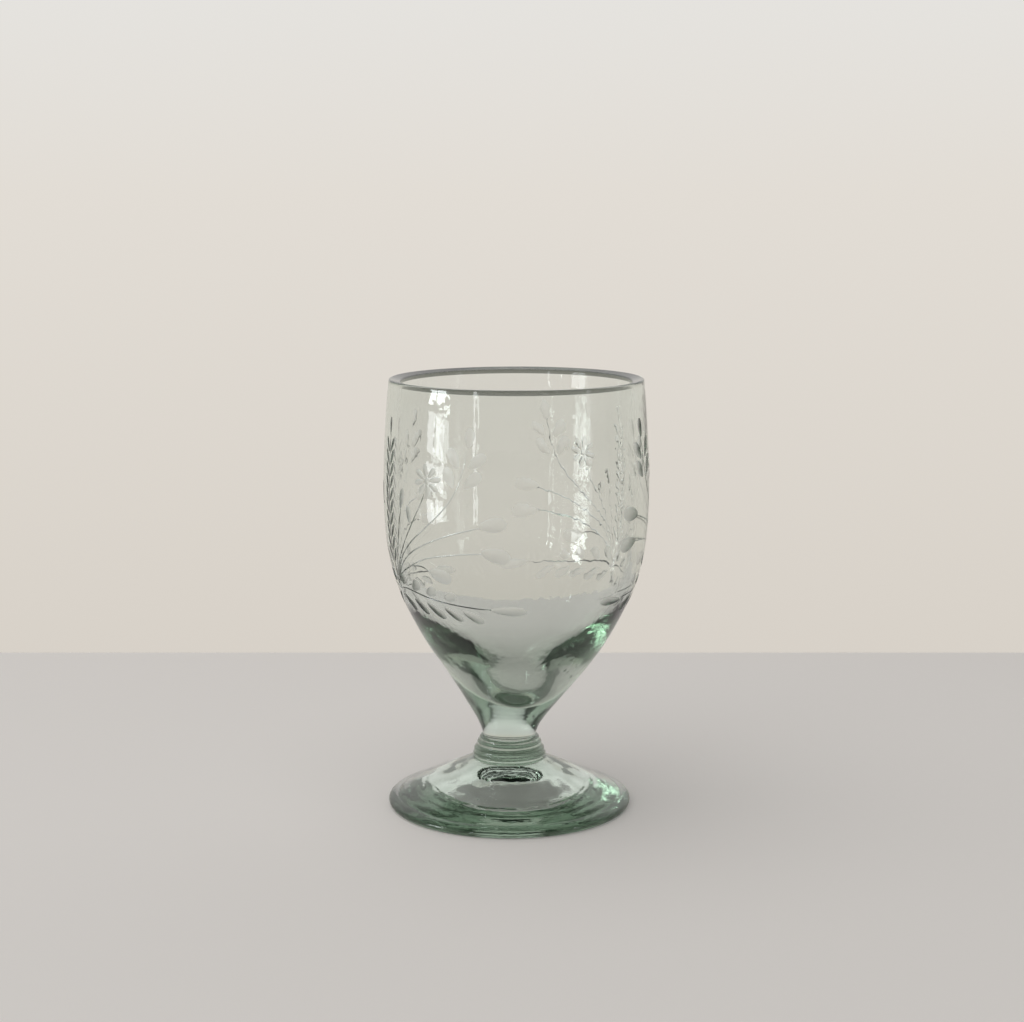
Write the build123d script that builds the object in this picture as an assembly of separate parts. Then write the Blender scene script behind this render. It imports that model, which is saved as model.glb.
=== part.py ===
from build123d import *
from math import asin, atan2, cos, hypot, radians, sin, sqrt, tan
import os

# Hand-blown wine glass in thick green-tinted glass, in millimetres, +Z up.
# It is built hot from three gathers of glass, each a node of its own:
#   bowl  the blown bowl with its drawn, solid tapering tail
#   knop  the squat collar that joins the tail to the foot
#   foot  the conical foot with a hollowed underside
# The origin is on the table, under the axis of the bowl. The foot and the knop
# share an axis that lies a little to -X of it, because the tail was drawn aslant.

# Driving dimensions
HEIGHT = 130.0          # table to the top of the lip
BOWL_MAX_R = 39.6       # widest outside radius of the bowl
LIP_OUTER_R = 37.9      # outside radius where the lip starts to round over
LIP_WALL = 3.7          # wall thickness at the fire-polished lip
LIP_SLANT = 14.0        # degrees by which the top of the lip falls towards the axis
LIP_EDGE_R = 0.7        # rounding of the lip's two edges
WALL = 3.5              # wall thickness at the widest part of the bowl
CAVITY_FLOOR_Z = 34.0   # lowest point of the space for the wine
TAIL_TOP_Z = 46.0       # height where the tail starts to lean
TAIL_TOP_R = 24.0
NECK_Z = 20.8           # seat of the bowl's tail on the knop
NECK_R = 8.0
KNOP_R = 11.1           # widest radius of the knop
KNOP_SEAT_Z = 13.9      # seat of the knop on the foot
KNOP_SEAT_R = 10.7
FOOT_R = 36.9           # outside radius of the foot
FOOT_EDGE_T = 2.4       # thickness of the foot's rounded edge
AXIS_SHIFT = 2.1        # the foot's axis lies this far to -X of the bowl's axis
REST_INNER_R = 32.8     # inside of the flat ring that the glass stands on
HOLLOW_TOP_Z = 6.2      # highest point of the hollow in the foot's underside

foot_axis = Location((-AXIS_SHIFT, 0, 0))


def solid_of_revolution(edges):
    """Turn a closed outline, drawn in the XZ plane, around the Z axis."""
    return revolve(make_face(edges), axis=Axis.Z, revolution_arc=360)


def tail_centre_x(z):
    """Where the tail's axis lies at a height: it leans in one smooth S curve."""
    along = (TAIL_TOP_Z - z) / (TAIL_TOP_Z - NECK_Z)
    return -AXIS_SHIFT * along * along * (3 - 2 * along)


def lip_points():
    """The lip's outline: three points on its outer edge, then three on its inner edge."""
    fall = (LIP_WALL - 2 * LIP_EDGE_R) * tan(radians(LIP_SLANT))
    outer = (LIP_OUTER_R - LIP_EDGE_R, HEIGHT - LIP_EDGE_R)
    inner = (LIP_OUTER_R - LIP_WALL + LIP_EDGE_R, outer[1] - fall)
    top = 90 + LIP_SLANT
    points = []
    for centre, turns in ((outer, (0, top / 2, top)), (inner, (top, (top + 180) / 2, 180))):
        for turn in turns:
            r = centre[0] + LIP_EDGE_R * cos(radians(turn))
            z = centre[1] + LIP_EDGE_R * sin(radians(turn))
            points.append((r, z))
    return points


def blown_body():
    """The full sides of the bowl and its slanting lip, still solid inside."""
    lip = lip_points()
    lip_inner_z = lip[5][1]
    outline = [
        Plane.XZ * Spline(
            (TAIL_TOP_R, TAIL_TOP_Z),
            (31.9, 59.3),
            (36.1, 69.0),
            (38.7, 80.5),
            (BOWL_MAX_R, 100.0),
            lip[0],
            tangents=[(0.59, 0.81), (-0.085, 1.0)],
        ),
        Plane.XZ * ThreePointArc(lip[0], lip[1], lip[2]),
        Plane.XZ * Line(lip[2], lip[3]),
        Plane.XZ * ThreePointArc(lip[3], lip[4], lip[5]),
        Plane.XZ * Line(lip[5], (0, lip_inner_z)),
        Plane.XZ * Line((0, lip_inner_z), (0, TAIL_TOP_Z)),
        Plane.XZ * Line((0, TAIL_TOP_Z), (TAIL_TOP_R, TAIL_TOP_Z)),
    ]
    return solid_of_revolution(outline)


def tail():
    """The solid tapering tail, drawn out to the neck and leaning towards -X."""
    stations = [
        (NECK_Z, NECK_R),
        (22.4, 8.3),
        (24.6, 9.2),
        (28.0, 11.2),
        (32.0, 14.0),
        (36.5, 17.2),
        (41.0, 20.45),
        (TAIL_TOP_Z, TAIL_TOP_R),
    ]
    rings = [Pos(tail_centre_x(z), 0, z) * Circle(r) for z, r in stations]
    return loft(rings)


def cavity():
    """The space for the wine: it narrows to a deep, blunt point inside the tail."""
    lip_inner = lip_points()[5]
    lip_inner_z = lip_inner[1]
    outline = [
        Plane.XZ * Spline(
            lip_inner,
            (BOWL_MAX_R - WALL, 100.0),
            (35.3, 81.0),
            (33.0, 70.5),
            (28.7, 61.5),
            (14.0, 44.2),
            (5.0, 35.6),
            (0.0, CAVITY_FLOOR_Z),
            tangents=[(0.09, -1.0), (-1.0, 0.0)],
        ),
        Plane.XZ * Line((0, CAVITY_FLOOR_Z), (0, lip_inner_z)),
        Plane.XZ * Line((0, lip_inner_z), lip_inner),
    ]
    return solid_of_revolution(outline)


def bowl():
    return blown_body() + tail() - cavity()


def knop():
    """A squat collar, widest below its middle."""
    side = Plane.XZ * Spline(
        (NECK_R + 0.5, NECK_Z),
        (10.0, 18.4),
        (KNOP_R, 15.6),
        (KNOP_SEAT_R, KNOP_SEAT_Z),
        tangents=[(1.0, -0.45), (-0.5, -1.0)],
    )
    outline = [
        side,
        Plane.XZ * Line((KNOP_SEAT_R, KNOP_SEAT_Z), (0, KNOP_SEAT_Z)),
        Plane.XZ * Line((0, KNOP_SEAT_Z), (0, NECK_Z)),
        Plane.XZ * Line((0, NECK_Z), (NECK_R + 0.5, NECK_Z)),
    ]
    return foot_axis * solid_of_revolution(outline)


def foot():
    """A conical foot with a rounded edge, a flat rest ring and a hollowed underside."""
    shoulder_r = KNOP_SEAT_R + 0.5
    edge_r = FOOT_EDGE_T / 2
    rest_outer_r = FOOT_R - edge_r
    # The cone runs from the shoulder to where it touches the round edge.
    run = rest_outer_r - shoulder_r
    drop = edge_r - KNOP_SEAT_Z
    angle = atan2(drop, run) + asin(edge_r / hypot(run, drop))
    length = sqrt(run * run + drop * drop - edge_r * edge_r)
    cone_end = (shoulder_r + length * cos(angle), KNOP_SEAT_Z + length * sin(angle))
    outline = [
        Plane.XZ * Line((0, KNOP_SEAT_Z), (shoulder_r, KNOP_SEAT_Z)),
        Plane.XZ * Line((shoulder_r, KNOP_SEAT_Z), cone_end),
        Plane.XZ * ThreePointArc(cone_end, (FOOT_R, edge_r), (rest_outer_r, 0)),
        Plane.XZ * Line((rest_outer_r, 0), (REST_INNER_R, 0)),
        Plane.XZ * Spline(
            (REST_INNER_R, 0),
            (19.0, 1.8),
            (12.0, 4.7),
            (0, HOLLOW_TOP_Z),
            tangents=[(-1.0, 0.08), (-1.0, 0.0)],
        ),
        Plane.XZ * Line((0, HOLLOW_TOP_Z), (0, KNOP_SEAT_Z)),
    ]
    return foot_axis * solid_of_revolution(outline)


os.makedirs("parts", exist_ok=True)
for name, shape in {"bowl": bowl(), "knop": knop(), "foot": foot()}.items():
    export_step(shape, f"parts/{name}.step")
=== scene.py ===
from math import asin, atan2, ceil, cos, hypot, pi, radians, sin, sqrt, tan, tau

import bpy
import numpy as np
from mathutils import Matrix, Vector
from mathutils.geometry import delaunay_2d_cdt


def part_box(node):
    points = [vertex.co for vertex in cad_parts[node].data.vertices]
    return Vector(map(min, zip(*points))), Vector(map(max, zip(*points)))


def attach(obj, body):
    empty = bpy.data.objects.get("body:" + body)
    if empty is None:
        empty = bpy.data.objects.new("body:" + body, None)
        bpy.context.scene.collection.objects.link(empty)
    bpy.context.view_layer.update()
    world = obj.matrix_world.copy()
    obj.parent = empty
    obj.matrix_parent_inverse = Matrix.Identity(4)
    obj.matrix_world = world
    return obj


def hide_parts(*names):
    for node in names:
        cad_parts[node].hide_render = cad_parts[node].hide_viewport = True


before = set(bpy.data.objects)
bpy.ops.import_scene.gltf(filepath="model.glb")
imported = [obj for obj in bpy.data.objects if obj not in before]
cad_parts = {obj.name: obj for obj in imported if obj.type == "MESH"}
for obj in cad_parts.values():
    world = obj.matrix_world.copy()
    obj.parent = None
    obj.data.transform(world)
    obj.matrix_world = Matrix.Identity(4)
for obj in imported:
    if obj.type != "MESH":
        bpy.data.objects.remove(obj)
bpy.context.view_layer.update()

# A hand-blown wine glass in thick green-tinted glass, with two cut sprays of flowers
# and leaves round its bowl. The bowl, the knop and the foot are separate closed meshes
# that meet at flat fused seats. Outlines are in millimetres, and meshes in metres.
MM = 0.001
SEGMENTS = 240                  # steps round each turned surface
SEAT_GAP = 0.01                 # mm left between two fused pieces, too thin to see
FLOOR_GAP = 0.02                # mm between the rest ring and the table

bowl_low, bowl_high = (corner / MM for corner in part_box("bowl"))
knop_low, knop_high = (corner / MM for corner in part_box("knop"))
foot_low, foot_high = (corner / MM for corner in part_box("foot"))

HEIGHT = bowl_high.z
NECK_Z = bowl_low.z
NECK_R = 8.0
BOWL_MAX_R = bowl_high.x
LIP_OUTER_R = 37.9
LIP_WALL = 3.7
LIP_SLANT = 14.0                # degrees by which the top of the lip falls towards the axis
LIP_EDGE_R = 0.7
WALL = 3.5
CAVITY_FLOOR_Z = 34.0
TAIL_TOP_Z = 46.0
TAIL_TOP_R = 24.0
KNOP_R = (knop_high.x - knop_low.x) / 2
KNOP_SEAT_Z = knop_low.z
KNOP_SEAT_R = 10.7
FOOT_R = (foot_high.x - foot_low.x) / 2
FOOT_EDGE_R = 1.2
FOOT_CENTRE_X = (foot_low.x + foot_high.x) / 2
REST_INNER_R = 32.8
HOLLOW_TOP_Z = 6.2

# The band of the bowl that carries the cut decoration
BAND_LOW_Z = 56.0
BAND_HIGH_Z = 121.0
BAND_R = 38.0                   # radius at which the band is unrolled flat
BAND_WIDTH = tau * BAND_R
BAND_ROWS = 42
SEAM_STEP = 196                 # the segment where the band is slit, between the two sprays

# The bowl's unevenness grows above the neck and dies away below the lip
WAVE_START_Z = 26.0
WAVE_FULL_Z = 40.0
CALM_START_Z = HEIGHT - 6.0
CALM_END_Z = HEIGHT - 2.0

# Directions that outlines take, as a radial and a vertical part
UPRIGHT = (0.0, 1.0)
TAIL_TO_SIDE = (0.59, 0.81)
LEVEL_OUT = (1.0, 0.0)
LEVEL_IN = (-1.0, 0.0)

ON_AXIS = 1e-6                  # a radius below this is a point on the axis
rng = np.random.default_rng(7)


# ---------------------------------------------------------------- outlines

def spline(points, start, end, count):
    """A smooth curve through the points, with given directions at its ends."""
    points = np.array(points, float)
    knots = np.concatenate([[0], np.cumsum(np.linalg.norm(np.diff(points, axis=0), axis=1))])
    last = len(points) - 1
    system = np.zeros((last + 1, last + 1))
    wanted = np.zeros((last + 1, 2))
    system[0, 0] = system[last, last] = 1
    wanted[0] = np.array(start) / np.linalg.norm(start)
    wanted[last] = np.array(end) / np.linalg.norm(end)
    for i in range(1, last):
        before, after = knots[i] - knots[i - 1], knots[i + 1] - knots[i]
        system[i, i - 1:i + 2] = after, 2 * (before + after), before
        wanted[i] = 3 * (after / before * (points[i] - points[i - 1])
                         + before / after * (points[i + 1] - points[i]))
    slopes = np.linalg.solve(system, wanted)
    along = np.linspace(0, knots[-1], count)
    k = np.clip(np.searchsorted(knots, along, side="right") - 1, 0, last - 1)
    step = (knots[k + 1] - knots[k])[:, None]
    t = (along - knots[k])[:, None] / step
    return ((2 * t**3 - 3 * t**2 + 1) * points[k] + (t**3 - 2 * t**2 + t) * step * slopes[k]
            + (3 * t**2 - 2 * t**3) * points[k + 1] + (t**3 - t**2) * step * slopes[k + 1])


def smoothstep(low, high, value):
    """Rises smoothly from 0 at low to 1 at high."""
    t = np.clip((value - low) / (high - low), 0, 1)
    return t * t * (3 - 2 * t)


def tail_centre_x(z):
    """The tail leans: its axis runs from the bowl's axis to the foot's."""
    return FOOT_CENTRE_X * (1 - smoothstep(NECK_Z, TAIL_TOP_Z, z))


def foot_centre_x(z):
    """The knop and the foot share one upright axis."""
    return FOOT_CENTRE_X


def bowl_centre_x(z):
    """The bowl above its tail turns about the origin's axis."""
    return 0.0


def arc(centre_r, centre_z, radius, start, end, count):
    angles = np.linspace(start, end, count)
    return np.column_stack([centre_r + radius * np.cos(angles), centre_z + radius * np.sin(angles)])


def bowl_outside():
    """The tail, and the side above it as closely spaced points to look radii up in."""
    tail = spline(
        [(NECK_R, NECK_Z), (8.3, 22.4), (9.2, 24.6), (11.2, 28.0), (14.0, 32.0),
         (17.2, 36.5), (20.45, 41.0), (TAIL_TOP_R, TAIL_TOP_Z)],
        UPRIGHT, TAIL_TO_SIDE, 60)
    side = spline(
        [(TAIL_TOP_R, TAIL_TOP_Z), (31.9, 59.3), (36.1, 69.0), (38.7, 80.5),
         (BOWL_MAX_R, 100.0), (LIP_OUTER_R, HEIGHT - LIP_EDGE_R)],
        TAIL_TO_SIDE, (-0.085, 1.0), 1200)
    return tail, side


def bowl_lip():
    """The rounded outer edge, the top that falls inwards, and the rounded inner edge."""
    fall = (LIP_WALL - 2 * LIP_EDGE_R) * tan(radians(LIP_SLANT))
    z = HEIGHT - LIP_EDGE_R
    top = radians(90 + LIP_SLANT)
    outer = arc(LIP_OUTER_R - LIP_EDGE_R, z, LIP_EDGE_R, 0, top, 14)
    inner = arc(LIP_OUTER_R - LIP_WALL + LIP_EDGE_R, z - fall, LIP_EDGE_R, top, pi, 12)
    return np.vstack([outer, np.linspace(outer[-1], inner[0], 8)[1:-1], inner])


def bowl_inside():
    """The cavity, from the lip's inner edge down to the middle of its floor."""
    return spline(
        [bowl_lip()[-1], (BOWL_MAX_R - WALL, 100.0),
         (35.3, 81.0), (33.0, 70.5), (28.7, 61.5), (14.0, 44.2), (5.0, 35.6),
         (0.0, CAVITY_FLOOR_Z)],
        (0.09, -1.0), LEVEL_IN, 120)


# ---------------------------------------------------------------- unevenness of hand work

def blown_wave(angle, z):
    """By how many millimetres the blown wall strays from round: long slow waves, and faint
    streaks that run nearly upright."""
    slow = 0.07 * np.sin(2 * angle + 0.9) + 0.035 * np.sin(3 * angle - z / 15 + 0.4)
    streaks = 0.010 * np.sin(11 * angle + z / 60) + 0.006 * np.sin(23 * angle + 1.3 - z / 45)
    return slow + streaks + 0.012 * np.sin(z / 3.1 + 2 * np.sin(angle))


def inner_wave(angle, z):
    """The same for the cavity, whose waves lie elsewhere."""
    slow = 0.06 * np.sin(2 * angle + 2.3) + 0.03 * np.sin(5 * angle + z / 12)
    return slow + 0.008 * np.sin(13 * angle + 2.1 + z / 50) + 0.015 * np.sin(z / 2.6 + angle)


# ---------------------------------------------------------------- closed meshes

class Shell:
    """One closed glass piece, gathered as vertices, faces and what each face is."""

    def __init__(self):
        self.points = []
        self.faces = []
        self.seat = []           # 1 on a fused seat, which shows no surface of its own
        self.cut = []            # how matt a wheel cut leaves it, 0 on the blown surface
        self.normals = []        # a row of normals for each corner, or zeros for the plain one
        self.sharp = set()

    def ring(self, r, z, centre_x):
        """Vertices round the axis; r and z are numbers, or one value per segment."""
        first = len(self.points)
        if np.ndim(r) == 0 and r < ON_AXIS:
            self.points.append((centre_x, 0.0, float(np.mean(z))))
            return [first]
        angles = np.arange(SEGMENTS) * tau / SEGMENTS
        xs, ys = centre_x + r * np.cos(angles), r * np.sin(angles)
        zs = np.broadcast_to(z, (SEGMENTS,))
        self.points.extend(zip(xs.tolist(), ys.tolist(), zs.tolist()))
        return list(range(first, first + SEGMENTS))

    def face(self, corners, seat=0.0, cut=0.0, normals=None):
        self.faces.append(corners)
        self.seat.append(seat)
        self.cut.append(cut)
        self.normals.extend([(0.0, 0.0, 0.0)] * len(corners) if normals is None else normals)

    def join(self, a, b, seat=0.0):
        """Faces between two rings. Either may be a single point on the axis."""
        for k in range(SEGMENTS):
            j = (k + 1) % SEGMENTS
            if len(a) == 1:
                self.face((a[0], b[j], b[k]), seat)
            elif len(b) == 1:
                self.face((a[k], a[j], b[0]), seat)
            else:
                self.face((a[k], a[j], b[j], b[k]), seat)

    def crease(self, ring):
        """Make the edges round a ring sharp."""
        for k in range(SEGMENTS):
            self.sharp.add(frozenset((ring[k], ring[(k + 1) % SEGMENTS])))

    def turn(self, outline, centre_x, radial=None, vertical=None, first=None):
        """Turn an outline round the axis; radial and vertical add the unevenness. Returns its last ring."""
        angles = np.arange(SEGMENTS) * tau / SEGMENTS
        previous = first
        for r, z in outline:
            if r < ON_AXIS:
                ring = self.ring(0.0, z, float(centre_x(z)))
            else:
                ring_r = r + (radial(angles, r, z) if radial else 0.0)
                ring_z = z + (vertical(angles, r, z) if vertical else 0.0)
                ring = self.ring(ring_r, ring_z, float(centre_x(z)))
            if previous is not None:
                self.join(previous, ring)
            previous = ring
        return previous

    def bubble(self, x, y, z, radius, stretch=1.0):
        """A seed: a small void inside the glass, so its faces look inward."""
        first = len(self.points)
        rings, sides = 6, 12
        self.points.append((x, y, z - radius * stretch))
        for i in range(1, rings):
            tilt = pi * i / rings
            ring_r, ring_z = radius * sin(tilt), z - radius * stretch * cos(tilt)
            for k in range(sides):
                turn = tau * k / sides
                self.points.append((x + ring_r * cos(turn), y + ring_r * sin(turn), ring_z))
        top = len(self.points)
        self.points.append((x, y, z + radius * stretch))
        for k in range(sides):
            j = (k + 1) % sides
            self.face((first, first + 1 + k, first + 1 + j))
            for i in range(rings - 2):
                low, high = first + 1 + i * sides, first + 1 + (i + 1) * sides
                self.face((low + k, high + k, high + j, low + j))
            last = first + 1 + (rings - 2) * sides
            self.face((last + k, top, last + j))

    def build(self, name, material):
        mesh = bpy.data.meshes.new(name)
        mesh.from_pydata((np.array(self.points) * MM).tolist(), [], self.faces)
        mesh.polygons.foreach_set("use_smooth", [True] * len(mesh.polygons))
        for label, values in (("seat", self.seat), ("cut", self.cut)):
            mesh.attributes.new(label, "FLOAT", "FACE").data.foreach_set("value", values)
        sharp = [frozenset(edge.vertices) in self.sharp for edge in mesh.edges]
        mesh.attributes.new("sharp_edge", "BOOLEAN", "EDGE").data.foreach_set("value", sharp)
        if any(any(normal) for normal in self.normals):
            mesh.normals_split_custom_set(self.normals)
        mesh.materials.append(material)
        piece = bpy.data.objects.new(name, mesh)
        bpy.context.scene.collection.objects.link(piece)
        return piece


# ---------------------------------------------------------------- wheel cuts

def curve_through(points, spacing=0.9):
    """Evenly spaced points on a smooth line through a few chosen ones."""
    points = np.array(points, float)
    ends = np.vstack([2 * points[0] - points[1], points, 2 * points[-1] - points[-2]])
    line = []
    for p0, p1, p2, p3 in zip(ends, ends[1:], ends[2:], ends[3:]):
        for t in np.linspace(0, 1, max(2, ceil(np.linalg.norm(p2 - p1) / spacing)), endpoint=False):
            line.append(0.5 * (2 * p1 + (p2 - p0) * t + (2 * p0 - 5 * p1 + 4 * p2 - p3) * t**2
                               + (3 * p1 - p0 - 3 * p2 + p3) * t**3))
    line.append(points[-1])
    return np.array(line)


SCOOP_DEPTH = 0.34
SCOOP_TAPER = 0.28              # the share by which a scoop is wider at its tip than in the middle
SCOOP_MATT = 1.0
STEM_HALF_WIDTH = 0.2
EAR_STEM_HALF_WIDTH = 0.24
GROOVE_STEEPNESS = 0.95         # depth of a groove over its half width
GROOVE_MATT = 0.4               # the narrow grooves are polished more than the scoops


class Cuts:
    """The cut decoration on the unrolled band: scoops for leaves and petals, grooves for stems."""

    def __init__(self):
        self.scoops = []         # centre u and z, angle, half length, half width, depth
        self.grooves = []        # the points of a line, half width

    def spray(self, root_angle, root_z):
        """A spray: an upright ear, flanked by flowers, leafy stems and a low frond each side."""
        root_u = (root_angle - tau * SEAM_STEP / SEGMENTS) % tau * BAND_R
        for side in (1, -1):
            def place(x, h):
                return root_u + side * x, root_z + h

            def stem(*points):
                self.grooves.append((curve_through([place(*p) for p in points]), STEM_HALF_WIDTH))

            def leaf(x, h, lean, length, width):
                """A scoop round (x, h), its tip leaning by so many degrees above level."""
                lean += rng.normal(0, 3)
                size = rng.normal(1, 0.05)
                u, z = place(x, h)
                angle = radians(lean if side > 0 else 180 - lean)
                self.scoops.append((u, z, angle, length / 2 * size, width / 2 * size, SCOOP_DEPTH))

            # The low frond, with slanted leaves under it and rounder ones above
            stem((0, 0), (3, 0.9), (8, 1.0), (19, -0.4), (30, -1.4), (38, -1.8))
            leaf(43.5, -2.1, -2, 11.0, 2.7)
            for i in range(5):
                leaf(4.6 + 6.8 * i, -3.2 - 0.3 * i, -34 + 2 * i, 7.4, 2.6)
            for i in range(4):
                leaf(4.5 + 6.8 * i, 3.6 - 0.8 * i, 32 - 4 * i, 4.8, 3.0)
            # Two long stems that end in broad ovals
            stem((0, 0), (3.3, 4.7), (10.9, 8.8), (19.0, 12.2), (29.5, 14.3), (36.0, 14.9))
            leaf(40.0, 14.6, -6, 8.5, 4.4)
            stem((10.9, 8.8), (15.5, 9.4), (18.5, 8.4))
            leaf(22.5, 7.4, -8, 8.0, 4.0)
            stem((2.0, 3.0), (5.5, 8.0), (12.0, 13.0), (19.7, 16.9), (27.0, 19.8), (35.5, 22.4))
            leaf(39.2, 23.3, 8, 8.0, 4.2)
            # A taller stem with pairs of big leaves
            stem((1.5, 2.5), (5.5, 9.5), (11.5, 15.5), (17.8, 20.5), (24.0, 26.0), (28.5, 32.0),
                 (31.0, 39.0), (32.0, 45.0))
            for h, reach in ((34.0, 30.0), (39.5, 31.3)):
                leaf(reach - 3.3, h + 2.2, 118, 6.6, 3.2)
                leaf(reach + 3.6, h + 1.6, 44, 6.6, 3.2)
            leaf(32.6, 47.6, 80, 6.0, 3.0)
            # The stem of the flower
            stem((0.8, 1.5), (3.7, 8.0), (8.5, 15.0), (13.0, 21.5), (17.0, 28.0), (18.2, 31.0))
            for i in range(8):
                turn = 45 * i + 10
                leaf(19.2 + 2.9 * cos(radians(turn)), 34.6 + 2.9 * sin(radians(turn)), turn, 4.0, 1.7)
            leaf(19.2, 34.6, 0, 1.8, 1.8)
            leaf(11.8, 24.0, 100, 5.0, 2.2)
            # A short upright stem with a bud
            stem((0.6, 2.0), (2.6, 8.0), (5.4, 16.0), (7.6, 25.0))
            leaf(8.3, 28.3, 78, 6.0, 2.3)
            # One side of the ear
            for i in range(10):
                leaf(1.75, 10.5 + 3.6 * i, 62, 5.2, 1.5)
        # The ear's own stem, with a last small leaf on top
        ear_stem = curve_through([(root_u, root_z + h) for h in (0, 12, 26, 46)])
        self.grooves.append((ear_stem, EAR_STEM_HALF_WIDTH))
        self.scoops.append((root_u, root_z + 48.5, pi / 2, 2.6, 0.8, 0.2))

    @staticmethod
    def scoop_depth(scoop, u, z):
        """Depth of a scoop at points of the band; below zero outside it."""
        centre_u, centre_z, angle, half_length, half_width, depth = scoop
        along = ((u - centre_u) * cos(angle) + (z - centre_z) * sin(angle)) / half_length
        across = ((z - centre_z) * cos(angle) - (u - centre_u) * sin(angle)) / half_width
        taper = 1 + SCOOP_TAPER * np.clip(along, -1.6, 1.6)
        return depth * (1 - along**2 - (across / taper) ** 2)

    @staticmethod
    def scoop_rim(scoop, share, count):
        """Points round a scoop at a share of its size."""
        centre_u, centre_z, angle, half_length, half_width, _ = scoop
        turns = np.arange(count) * tau / count
        along, across = np.cos(turns) * share, np.sin(turns) * share
        across = across * (1 + SCOOP_TAPER * along)
        u = centre_u + along * half_length * cos(angle) - across * half_width * sin(angle)
        z = centre_z + along * half_length * sin(angle) + across * half_width * cos(angle)
        return np.column_stack([u, z])

    @staticmethod
    def groove_offset(line, u, z):
        """Nearest distance from points to a line, and the direction away from it."""
        best = np.full(len(u), 1e9)
        away = np.zeros((len(u), 2))
        points = np.column_stack([u, z])
        for a, b in zip(line, line[1:]):
            span = b - a
            t = np.clip(((points - a) @ span) / (span @ span), 0, 1)
            offset = points - (a + t[:, None] * span)
            distance = np.linalg.norm(offset, axis=1)
            nearer = distance < best
            best = np.where(nearer, distance, best)
            away[nearer] = offset[nearer]
        return best, away / np.maximum(np.linalg.norm(away, axis=1), 1e-9)[:, None]


def band_sheet(cuts):
    """The unrolled band as flat points and triangles, finer along the cuts."""
    columns = SEGMENTS // 2
    rows = np.linspace(BAND_LOW_Z, BAND_HIGH_Z, BAND_ROWS)
    points, edges = [], []

    def chain(new_points, closed=False):
        """Add points joined in a row by edges that the triangles keep. Returns the first and the last."""
        first = len(points)
        points.extend(map(tuple, new_points))
        last = len(points) - 1
        edges.extend((i, i + 1) for i in range(first, last))
        if closed:
            edges.append((last, first))
        return first, last

    # The border: the two rings, and the seam's two sides between them
    ring_u = np.arange(SEGMENTS + 1) * BAND_WIDTH / SEGMENTS
    low = chain([(u, BAND_LOW_Z) for u in ring_u])
    high = chain([(u, BAND_HIGH_Z) for u in ring_u])
    left = chain([(0.0, z) for z in rows[1:-1]])
    right = chain([(BAND_WIDTH, z) for z in rows[1:-1]])
    edges.extend([(low[0], left[0]), (high[0], left[1]), (low[1], right[0]), (high[1], right[1])])

    # A sparse grid, left out where the cuts have points of their own
    round_scoop, round_groove = 0.9, 0.8
    grid = []
    for i, z in enumerate(rows[1:-1]):
        shift = 0.5 if i % 2 else 0.0
        grid.extend(((k + shift) * BAND_WIDTH / columns, z) for k in range(columns) if k + shift > 0)
    grid = np.array(grid)
    keep = np.ones(len(grid), bool)
    for scoop in cuts.scoops:
        *_, deepest = scoop
        keep &= cuts.scoop_depth(scoop, grid[:, 0], grid[:, 1]) < -round_scoop * deepest
    for line, _ in cuts.grooves:
        keep &= cuts.groove_offset(line, grid[:, 0], grid[:, 1])[0] > round_groove
    points.extend(map(tuple, grid[keep]))

    # Rings of points in each scoop, and three lines along each groove
    for scoop in cuts.scoops:
        centre_u, centre_z, _, half_length, *_ = scoop
        count = max(14, int(5 * half_length))
        chain(cuts.scoop_rim(scoop, 1.0, count), closed=True)
        for share, fewer in ((0.78, 0.7), (0.5, 0.5), (0.22, 0.35)):
            points.extend(map(tuple, cuts.scoop_rim(scoop, share, int(count * fewer))))
        points.append((centre_u, centre_z))
    for line, half_width in cuts.grooves:
        direction = np.gradient(line, axis=0)
        direction /= np.linalg.norm(direction, axis=1)[:, None]
        normal = np.column_stack([-direction[:, 1], direction[:, 0]])
        steps = np.arange(len(line))
        taper = np.minimum(1, np.minimum(steps, steps[::-1]) / 3 + 0.15)
        for side in (-1, 0, 1):
            chain(line + normal * (side * half_width * taper)[:, None])

    found, _, triangles, *_ = delaunay_2d_cdt([Vector(p) for p in points], edges, [], 0, 1e-4, False)
    return np.array([(p.x, p.y) for p in found]), np.array(triangles)


def band_depths(cuts, flat, triangles):
    """How deep the cuts are at each point. For each triangle, the number of its cut, with
    -1 for none and one number for all grooves, and the direction away from its groove."""
    u, z = flat[:, 0], flat[:, 1]
    centre = flat[triangles].mean(axis=1)
    depth = np.zeros(len(flat))
    deepest = np.full(len(triangles), 1e-5)
    owner = np.full(len(triangles), -1)
    away = np.zeros((len(triangles), 2))
    for k, scoop in enumerate(cuts.scoops):
        depth = np.maximum(depth, cuts.scoop_depth(scoop, u, z))
        here = cuts.scoop_depth(scoop, centre[:, 0], centre[:, 1])
        owner = np.where(here > deepest, k, owner)
        deepest = np.maximum(deepest, here)
    for line, half_width in cuts.grooves:
        near = (u > line[:, 0].min() - 1) & (u < line[:, 0].max() + 1)
        distance, _ = cuts.groove_offset(line, u[near], z[near])
        depth[near] = np.maximum(depth[near], GROOVE_STEEPNESS * (half_width - distance))
        near = (centre[:, 0] > line[:, 0].min() - 1) & (centre[:, 0] < line[:, 0].max() + 1)
        index = np.flatnonzero(near)
        distance, direction = cuts.groove_offset(line, centre[near, 0], centre[near, 1])
        here = GROOVE_STEEPNESS * (half_width - distance)
        wins = here > deepest[index]
        owner[index[wins]] = len(cuts.scoops)
        away[index[wins]] = direction[wins]
        deepest[index[wins]] = here[wins]
    return depth, owner, away


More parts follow.
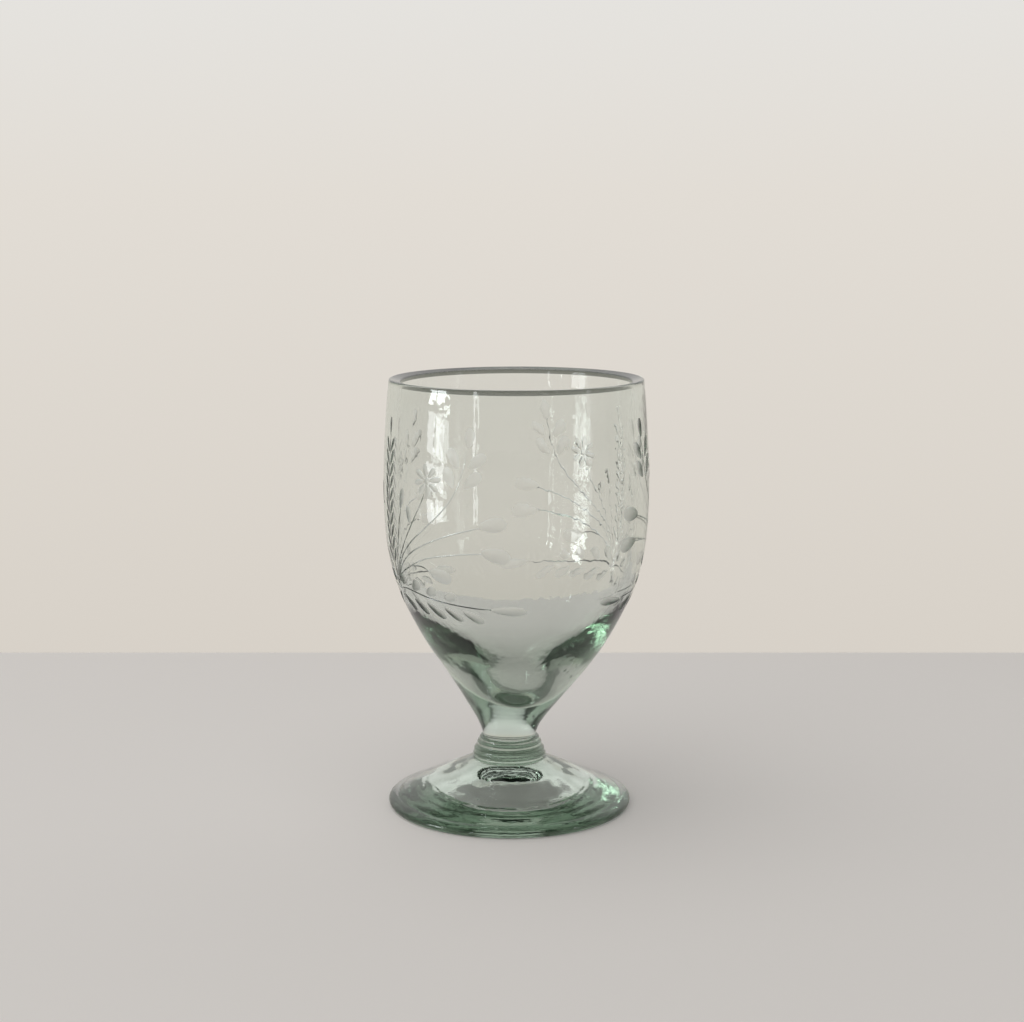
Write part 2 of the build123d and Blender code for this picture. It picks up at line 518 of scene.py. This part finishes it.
def cut_band(shell, low_ring, high_ring, outside_r, cuts):
    """The decorated band of the bowl's outside, between two rings of the shell."""
    flat, triangles = band_sheet(cuts)
    depth, owner, away = band_depths(cuts, flat, triangles)
    u, z = flat[:, 0], flat[:, 1]

    # The plain surface under the cuts, with its tangents
    def radius(angle, height):
        return outside_r(height) + blown_wave(angle, height)

    angle = u / BAND_R + tau * SEAM_STEP / SEGMENTS
    r = radius(angle, z)
    step_z, step_a = 0.2, 0.004
    r_slope_z = (radius(angle, z + step_z) - radius(angle, z - step_z)) / (2 * step_z)
    r_slope_a = (radius(angle + step_a, z) - radius(angle - step_a, z)) / (2 * step_a)
    out = np.column_stack([np.cos(angle), np.sin(angle), 0 * z])
    around = np.column_stack([-np.sin(angle), np.cos(angle), 0 * z]) + out * (r_slope_a / r)[:, None]
    rise = np.column_stack([0 * z, 0 * z, 0 * z + 1]) + out * r_slope_z[:, None]
    normal = np.cross(around, rise)
    for vectors in (around, rise, normal):
        vectors /= np.linalg.norm(vectors, axis=1)[:, None]
    plain = out * r[:, None] + np.column_stack([0 * z, 0 * z, z])
    place = plain - normal * np.maximum(depth, 0)[:, None]

    # Corner normals: plain outside the cuts, tilted by the cut's own slope inside them
    corner = triangles.ravel()
    slope = np.zeros((len(corner), 2))
    corner_owner = np.repeat(owner, 3)
    step = 0.01
    for k, scoop in enumerate(cuts.scoops):
        mine = corner_owner == k
        for axis, (du, dz) in enumerate(((step, 0.0), (0.0, step))):
            ahead = cuts.scoop_depth(scoop, u[corner[mine]] + du, z[corner[mine]] + dz)
            behind = cuts.scoop_depth(scoop, u[corner[mine]] - du, z[corner[mine]] - dz)
            slope[mine, axis] = (ahead - behind) / (2 * step)
    in_groove = corner_owner == len(cuts.scoops)
    slope[in_groove] = -GROOVE_STEEPNESS * np.repeat(away, 3, axis=0)[in_groove]
    stretch_u = BAND_R / r[corner]
    stretch_z = 1 / np.sqrt(1 + r_slope_z[corner] ** 2)
    corner_normal = (normal[corner] + around[corner] * (slope[:, 0] * stretch_u)[:, None]
                     + rise[corner] * (slope[:, 1] * stretch_z)[:, None])
    corner_normal /= np.linalg.norm(corner_normal, axis=1)[:, None]

    # Each point's number in the shell: the rings are there already, and the seam closes
    index = {}
    seam = {}
    close = 1e-3
    for i, (pu, pz) in enumerate(flat):
        k = (round(pu / BAND_WIDTH * SEGMENTS) + SEAM_STEP) % SEGMENTS
        if abs(pz - BAND_LOW_Z) < close:
            index[i] = low_ring[k]
        elif abs(pz - BAND_HIGH_Z) < close:
            index[i] = high_ring[k]
        elif pu > BAND_WIDTH - close or pu < close:
            level = round(pz, 2)
            if level not in seam:
                seam[level] = len(shell.points)
                shell.points.append(tuple(place[i]))
            index[i] = seam[level]
        else:
            index[i] = len(shell.points)
            shell.points.append(tuple(place[i]))
    for n, triangle in enumerate(triangles):
        if owner[n] < 0:
            cut = 0.0
        else:
            cut = SCOOP_MATT if owner[n] < len(cuts.scoops) else GROOVE_MATT
        shell.face(tuple(index[i] for i in triangle), 0.0, cut,
                   [tuple(v) for v in corner_normal[3 * n:3 * n + 3]])


# ---------------------------------------------------------------- pieces

def make_bowl(material):
    shell = Shell()
    tail, side = bowl_outside()

    def outside_r(z):
        return np.interp(z, side[:, 1], side[:, 0])

    def calm(z):
        return 1 - smoothstep(CALM_START_Z, CALM_END_Z, z)

    def outer(angles, r, z):
        return blown_wave(angles, z) * smoothstep(WAVE_START_Z, WAVE_FULL_Z, z) * calm(z)

    def inner(angles, r, z):
        return inner_wave(angles, z) * smoothstep(2.0, 14.0, r) * calm(z)

    def upper_wave(angles, r, z):
        inside = r < outside_r(z) - WALL / 2
        return inner(angles, r, z) if inside else outer(angles, r, z)

    def levels(low, high, count):
        z = np.linspace(low, high, count)
        return np.column_stack([outside_r(z), z])

    seat_z = NECK_Z + SEAT_GAP
    middle = shell.ring(0.0, seat_z, FOOT_CENTRE_X)
    neck = shell.ring(NECK_R, seat_z, FOOT_CENTRE_X)
    shell.join(middle, neck, seat=1.0)
    shell.crease(neck)
    lower = np.vstack([tail[1:], levels(TAIL_TOP_Z, BAND_LOW_Z, 12)[1:]])
    low_ring = shell.turn(lower, tail_centre_x, radial=outer, first=neck)
    first_upper = len(shell.points)
    above_band = levels(BAND_HIGH_Z, HEIGHT - LIP_EDGE_R, 8)
    upper = np.vstack([above_band, bowl_lip()[1:], bowl_inside()[1:-1], [(0.0, CAVITY_FLOOR_Z)]])
    shell.turn(upper, bowl_centre_x, radial=upper_wave)
    high_ring = list(range(first_upper, first_upper + SEGMENTS))

    cuts = Cuts()
    for root_azimuth, root_z in ((201.0, 69.0), (26.0, 69.4)):
        cuts.spray(radians(root_azimuth), root_z)
    cut_band(shell, low_ring, high_ring, outside_r, cuts)

    # Seeds trapped in the thick lower part
    for x, y, z, radius, stretch in (
        (13.0, -9.0, 46.0, 0.35, 1.0),
        (15.2, -8.0, 47.2, 0.28, 1.2),
        (14.6, -9.5, 43.4, 0.5, 1.3),
        (12.0, -6.5, 41.0, 0.25, 1.0),
        (4.5, -7.5, 29.5, 0.45, 1.4),
        (5.5, -5.0, 33.0, 0.25, 1.0),
    ):
        shell.bubble(x, y, z, radius, stretch)
    return shell.build("glass_bowl", material)


def make_knop(material):
    shell = Shell()
    base_z = KNOP_SEAT_Z + SEAT_GAP
    side = spline([(KNOP_SEAT_R, base_z), (KNOP_R, 15.6), (10.0, 18.4), (NECK_R + 0.5, NECK_Z)],
                  (0.5, 1.0), (-1.0, 0.45), 60)

    def tooling(angles, r, z):
        """Faint rings left by the jacks as the knop was turned."""
        fade = smoothstep(KNOP_SEAT_Z, KNOP_SEAT_Z + 1.2, z) * (1 - smoothstep(NECK_Z - 1.2, NECK_Z, z))
        rings = -0.14 + 0.13 * np.sin(z * 3.4 + 0.5 * np.sin(angles))
        return fade * (rings + 0.05 * np.sin(3 * angles + z))

    middle = shell.ring(0.0, base_z, FOOT_CENTRE_X)
    seat = shell.ring(KNOP_SEAT_R, base_z, FOOT_CENTRE_X)
    shell.join(middle, seat, seat=1.0)
    shell.crease(seat)
    shoulder = shell.turn(side[1:], foot_centre_x, radial=tooling, first=seat)
    shell.crease(shoulder)
    neck = shell.ring(NECK_R, NECK_Z, FOOT_CENTRE_X)
    shell.join(shoulder, neck)
    top = shell.ring(0.0, NECK_Z, FOOT_CENTRE_X)
    shell.join(neck, top, seat=1.0)
    return shell.build("glass_knop", material)


def make_foot(material):
    shell = Shell()
    under = spline([(0.0, HOLLOW_TOP_Z), (12.0, 4.7), (19.0, 1.8), (REST_INNER_R, 0.0)],
                   LEVEL_OUT, (1.0, -0.08), 90)
    shoulder_r = KNOP_SEAT_R + 0.5
    rest_outer_r = FOOT_R - FOOT_EDGE_R
    # The cone leaves the shoulder and touches the rounded edge, so its slope follows from both
    run, drop = rest_outer_r - shoulder_r, FOOT_EDGE_R - KNOP_SEAT_Z
    slope = atan2(drop, run) + asin(FOOT_EDGE_R / hypot(run, drop))
    length = sqrt(run**2 + drop**2 - FOOT_EDGE_R**2)
    cone_end = np.array([shoulder_r + length * cos(slope), KNOP_SEAT_Z + length * sin(slope)])
    edge = arc(rest_outer_r, FOOT_EDGE_R, FOOT_EDGE_R, -pi / 2, pi / 2 + slope, 24)
    cone = np.linspace(cone_end, (shoulder_r, KNOP_SEAT_Z), 90)

    def ripples(angles, r, z):
        """Slow waves and a bead in the top, the same waves high in the hollow, and shallow rings
        lower down in the underside. Where the foot stands there are none."""
        if z > FOOT_EDGE_R:
            cone_end_r = cone_end[0]
            fade = smoothstep(shoulder_r, shoulder_r + 4, r) * (1 - smoothstep(cone_end_r - 4, cone_end_r, r))
            bead_width, hollow_width = 3.2, 0.8
            hollow = -0.24 * np.exp(-((r - FOOT_R + bead_width) / hollow_width) ** 2)
            waves = 0.05 * np.sin(3 * angles + r / 9) + 0.03 * np.sin(1.4 * r + np.sin(2 * angles))
            return hollow + fade * (waves + 0.022 * np.sin(19 * angles + r / 2.2))
        fade = 1 - smoothstep(REST_INNER_R - 7, REST_INNER_R - 1, r)
        rings = 0.035 * np.sin(1.9 * r + 0.8 * np.sin(2 * angles + 0.6))
        return fade * (rings + 0.06 * np.sin(3 * angles + r / 9) + 0.02 * np.sin(7 * angles - r / 4))

    shoulder = shell.turn(np.vstack([under, edge, cone[1:]]), foot_centre_x, vertical=ripples)
    shell.crease(shoulder)
    seat = shell.ring(KNOP_SEAT_R, KNOP_SEAT_Z, FOOT_CENTRE_X)
    shell.join(shoulder, seat)
    top = shell.ring(0.0, KNOP_SEAT_Z, FOOT_CENTRE_X)
    shell.join(seat, top, seat=1.0)
    shell.bubble(FOOT_CENTRE_X + 16.0, -13.0, 6.0, 0.3)
    shell.bubble(FOOT_CENTRE_X - 9.0, -19.0, 4.6, 0.25)
    return shell.build("glass_foot", material)


# ---------------------------------------------------------------- materials

GLASS_IOR = 1.5
LIP_FLATTENING = 8.0            # the painted shade's zone is a flat ellipsoid, this much wider than it is high
LIP_CLEAR_UP_TO = 0.35          # mm from the outer edge inwards that stay clear
LIP_SHADE_FULL_FROM = 0.75            # mm from the outer edge inwards where the painted shade is full
# Painted shade: the dark colour given to the top of the lip
LIP_PAINTED_SHADE = (0.09, 0.10, 0.09, 1)
BODY_COLOUR = (0.07, 0.28, 0.10, 1)
CLEAR = (1, 1, 1, 1)

# The mix node's sockets for colours
COLOUR_A = 6
COLOUR_B = 7
COLOUR_OUT = 2


def glass_material():
    """Thick glass: a bright surface, a pale green body, cuts left a little matt, and painted shade on the top
    of the lip.
    """
    material = bpy.data.materials.new("green_glass")
    material.use_nodes = True
    nodes, links = material.node_tree.nodes, material.node_tree.links
    nodes.clear()
    output = nodes.new("ShaderNodeOutputMaterial")
    surface = nodes.new("ShaderNodeBsdfPrincipled")
    surface.inputs["Base Color"].default_value = CLEAR
    surface.inputs["IOR"].default_value = GLASS_IOR
    surface.inputs["Transmission Weight"].default_value = 1.0
    links.new(surface.outputs["BSDF"], output.inputs["Surface"])

    # A fused seat has glass on both sides, so it bends no light and shows no surface
    seat = nodes.new("ShaderNodeAttribute")
    seat.attribute_name = "seat"
    index = nodes.new("ShaderNodeMapRange")
    index.inputs["To Min"].default_value = GLASS_IOR
    index.inputs["To Max"].default_value = 1.0
    links.new(seat.outputs["Fac"], index.inputs["Value"])
    links.new(index.outputs["Result"], surface.inputs["IOR"])

    # The wheel leaves the cuts slightly matt, unevenly; the blown surface is bright
    cut = nodes.new("ShaderNodeAttribute")
    cut.attribute_name = "cut"
    grain = nodes.new("ShaderNodeTexNoise")
    grain.inputs["Scale"].default_value = 900.0
    grain.inputs["Detail"].default_value = 3.0
    grit = nodes.new("ShaderNodeMapRange")
    grit.inputs["To Min"].default_value = 0.30
    grit.inputs["To Max"].default_value = 0.60
    links.new(grain.outputs["Fac"], grit.inputs["Value"])
    matt = nodes.new("ShaderNodeMath")
    matt.operation = "MULTIPLY"
    links.new(cut.outputs["Fac"], matt.inputs[0])
    links.new(grit.outputs["Result"], matt.inputs[1])
    links.new(matt.outputs["Value"], surface.inputs["Roughness"])

    # Painted shade on the top of the lip: it reads dark from the side, because it leads light down inside the
    # wall, and that dark is painted into its colour here.
    # The painted shade ends just inside the outer edge, which stays clear.
    place = nodes.new("ShaderNodeTexCoord")
    from_lip = nodes.new("ShaderNodeVectorMath")
    from_lip.operation = "MULTIPLY_ADD"
    from_lip.inputs[1].default_value = (1.0, 1.0, LIP_FLATTENING)
    from_lip.inputs[2].default_value = (0.0, 0.0, -HEIGHT * LIP_FLATTENING * MM)
    links.new(place.outputs["Object"], from_lip.inputs[0])
    reach = nodes.new("ShaderNodeVectorMath")
    reach.operation = "LENGTH"
    links.new(from_lip.outputs["Vector"], reach.inputs[0])
    lip_shade_mask = nodes.new("ShaderNodeMapRange")
    lip_shade_mask.interpolation_type = "SMOOTHSTEP"
    lip_shade_mask.inputs["From Min"].default_value = (LIP_OUTER_R - LIP_CLEAR_UP_TO) * MM
    lip_shade_mask.inputs["From Max"].default_value = (LIP_OUTER_R - LIP_SHADE_FULL_FROM) * MM
    links.new(reach.outputs["Value"], lip_shade_mask.inputs["Value"])
    painted_lip_shade = nodes.new("ShaderNodeMix")
    painted_lip_shade.data_type = "RGBA"
    painted_lip_shade.inputs[COLOUR_A].default_value = CLEAR
    painted_lip_shade.inputs[COLOUR_B].default_value = LIP_PAINTED_SHADE
    links.new(lip_shade_mask.outputs["Result"], painted_lip_shade.inputs["Factor"])
    links.new(painted_lip_shade.outputs[COLOUR_OUT], surface.inputs["Base Color"])

    # Faint cords and ripples in the blown surface
    cords = nodes.new("ShaderNodeTexNoise")
    cords.inputs["Scale"].default_value = 60.0
    cords.inputs["Detail"].default_value = 0.0
    bump = nodes.new("ShaderNodeBump")
    bump.inputs["Strength"].default_value = 0.35
    bump.inputs["Distance"].default_value = 0.04 * MM
    links.new(cords.outputs["Fac"], bump.inputs["Height"])
    links.new(bump.outputs["Normal"], surface.inputs["Normal"])

    body = nodes.new("ShaderNodeVolumeAbsorption")
    body.inputs["Color"].default_value = BODY_COLOUR
    body.inputs["Density"].default_value = 28.0
    links.new(body.outputs["Volume"], output.inputs["Volume"])
    return material


def table_material():
    material = bpy.data.materials.new("pale_table")
    material.use_nodes = True
    surface = material.node_tree.nodes["Principled BSDF"]
    surface.inputs["Base Color"].default_value = (0.84, 0.81, 0.785, 1)
    surface.inputs["Roughness"].default_value = 0.8
    surface.inputs["Specular IOR Level"].default_value = 0.0
    # The table glows a little: painted light that brightens it and keeps the glass's shadows faint
    surface.inputs["Emission Color"].default_value = (1.0, 0.975, 0.945, 1)
    surface.inputs["Emission Strength"].default_value = 0.10
    return material


# ---------------------------------------------------------------- studio

TABLE_EDGE_Y = 0.19             # the far edge, which the glass refracts
TABLE_REACH = 15                # how far it goes to both sides and towards the camera


def make_table():
    mesh = bpy.data.meshes.new("table")
    z = -FLOOR_GAP * MM
    corners = [(-TABLE_REACH, -TABLE_REACH, z), (TABLE_REACH, -TABLE_REACH, z),
               (TABLE_REACH, TABLE_EDGE_Y, z), (-TABLE_REACH, TABLE_EDGE_Y, z)]
    mesh.from_pydata(corners, [], [(0, 1, 2, 3)])
    mesh.materials.append(table_material())
    table = bpy.data.objects.new("table", mesh)
    bpy.context.scene.collection.objects.link(table)


def make_world():
    """A pale wall behind the table and a dimmer room behind the camera, both dark high up."""
    world = bpy.data.worlds.new("studio")
    bpy.context.scene.world = world
    world.use_nodes = True
    nodes, links = world.node_tree.nodes, world.node_tree.links
    background = nodes["Background"]
    direction = nodes.new("ShaderNodeTexCoord")
    parts = nodes.new("ShaderNodeSeparateXYZ")
    links.new(direction.outputs["Generated"], parts.inputs["Vector"])
    height = nodes.new("ShaderNodeMapRange")
    height.inputs["From Min"].default_value = -1.0
    links.new(parts.outputs["Z"], height.inputs["Value"])

    def ramp(stops):
        """A colour for each elevation, in degrees."""
        node = nodes.new("ShaderNodeValToRGB")
        elements = node.color_ramp.elements
        while len(elements) < len(stops):
            elements.new(0.5)
        for element, (elevation, colour) in zip(elements, stops):
            element.position = (sin(radians(elevation)) + 1) / 2
            element.color = (*colour, 1)
        links.new(height.outputs["Result"], node.inputs["Fac"])
        return node.outputs["Color"]

    wall = [(-90, (0.66, 0.61, 0.55)), (-14, (0.68, 0.635, 0.575)), (0, (0.76, 0.72, 0.665)),
            (6, (0.785, 0.77, 0.74))]
    front = ramp([(-90, (0.50, 0.475, 0.45)), (10, (0.50, 0.48, 0.46)), (24, (0.16, 0.16, 0.16)),
                  (50, (0.05, 0.05, 0.05))])
    back = ramp(wall + [(14, (0.80, 0.79, 0.77)), (30, (1.0, 0.99, 0.97)), (43, (0.85, 0.85, 0.84)),
                        (52, (0.06, 0.06, 0.06))])
    # From the room to the wall, by how far a direction points to +Y
    turn = nodes.new("ShaderNodeMapRange")
    turn.interpolation_type = "SMOOTHSTEP"
    turn.inputs["From Min"].default_value = 0.1
    turn.inputs["From Max"].default_value = 0.85
    links.new(parts.outputs["Y"], turn.inputs["Value"])
    mix = nodes.new("ShaderNodeMix")
    mix.data_type = "RGBA"
    links.new(turn.outputs["Result"], mix.inputs["Factor"])
    links.new(front, mix.inputs[COLOUR_A])
    links.new(back, mix.inputs[COLOUR_B])
    links.new(mix.outputs[COLOUR_OUT], background.inputs["Color"])


def area_light(name, location, target, width, height, radiance, colour):
    """A rectangular light that the camera doesn't see. Returns its object."""
    light = bpy.data.lights.new(name, "AREA")
    light.shape = "RECTANGLE"
    light.size, light.size_y = width, height
    light.energy = radiance * pi * width * height
    light.color = colour
    lamp = bpy.data.objects.new(name, light)
    lamp.location = location
    lamp.rotation_euler = (Vector(target) - Vector(location)).to_track_quat("-Z", "Y").to_euler()
    lamp.visible_camera = False
    bpy.context.scene.collection.objects.link(lamp)
    return lamp


SKY = 2.2                       # how much brighter a window's upper half is
DAYLIGHT = (0.93, 0.98, 1.0)
WINDOW_DISTANCE = 0.45
BAR_SHARE = 0.16                # width of an upright bar over the width of a column
BAR_HEIGHT = 0.009


def make_window(azimuth, width, height, columns, rows, radiance):
    """An upright paned window that stands on the table's level and shines only in the glass.
    Azimuth is measured from -Y towards -X."""
    a = radians(azimuth)
    centre = Vector((-sin(a), -cos(a), 0)) * WINDOW_DISTANCE
    along = Vector((cos(a), -sin(a), 0))
    bar = BAR_SHARE * width / columns if columns > 1 else 0.0
    pane_w, pane_h = width / columns - bar, height / rows - BAR_HEIGHT
    for column in range(columns):
        for row in range(rows):
            offset = along * ((column + 0.5) / columns - 0.5) * width
            place = centre + offset + Vector((0, 0, (row + 0.5) * height / rows))
            faced = Vector((offset.x, offset.y, place.z))
            brightness = radiance * (SKY if row >= rows / 2 else 1)
            pane = area_light("pane", place, faced, pane_w, pane_h, brightness, DAYLIGHT)
            pane.visible_diffuse = False


def make_lights():
    """A window and a narrow one to the left of the camera, a dim one to the right of it, and
    a broad soft light above."""
    make_window(azimuth=70.5, width=0.14, height=0.26, columns=2, rows=6, radiance=5.5)
    make_window(azimuth=35, width=0.012, height=0.24, columns=1, rows=3, radiance=5.5)
    make_window(azimuth=-63, width=0.03, height=0.24, columns=1, rows=3, radiance=1.2)
    above = area_light("softbox", location=(-0.5, -0.2, 1.6), target=(0, 0, 0), width=2.2, height=2.2,
                       radiance=1.08, colour=(1.0, 0.985, 0.96))
    above.visible_glossy = False
    above.visible_transmission = False


SENSOR_WIDTH = 36
FOCAL_LENGTH = 66.8
CAMERA_PLACE = (-0.0013, -0.5618, 0.1836)
CAMERA_DOWN = 9.463             # degrees below level that the camera looks


def make_camera():
    data = bpy.data.cameras.new("camera")
    data.sensor_width = SENSOR_WIDTH
    data.lens = FOCAL_LENGTH
    data.clip_start = 0.01
    camera = bpy.data.objects.new("camera", data)
    camera.location = CAMERA_PLACE
    camera.rotation_euler = (radians(90 - CAMERA_DOWN), 0, 0)
    bpy.context.scene.collection.objects.link(camera)
    bpy.context.scene.camera = camera


def set_view():
    """Plain display colours, and enough bounces for the light inside the glass."""
    scene = bpy.context.scene
    scene.view_settings.view_transform = "Standard"
    scene.cycles.max_bounces = 32
    scene.cycles.transmission_bounces = 32
    scene.cycles.glossy_bounces = 12


glass = glass_material()
for piece, node in ((make_bowl(glass), "bowl"), (make_knop(glass), "knop"), (make_foot(glass), "foot")):
    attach(piece, "root")
    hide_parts(node)
make_table()
make_world()
make_lights()
make_camera()
set_view()
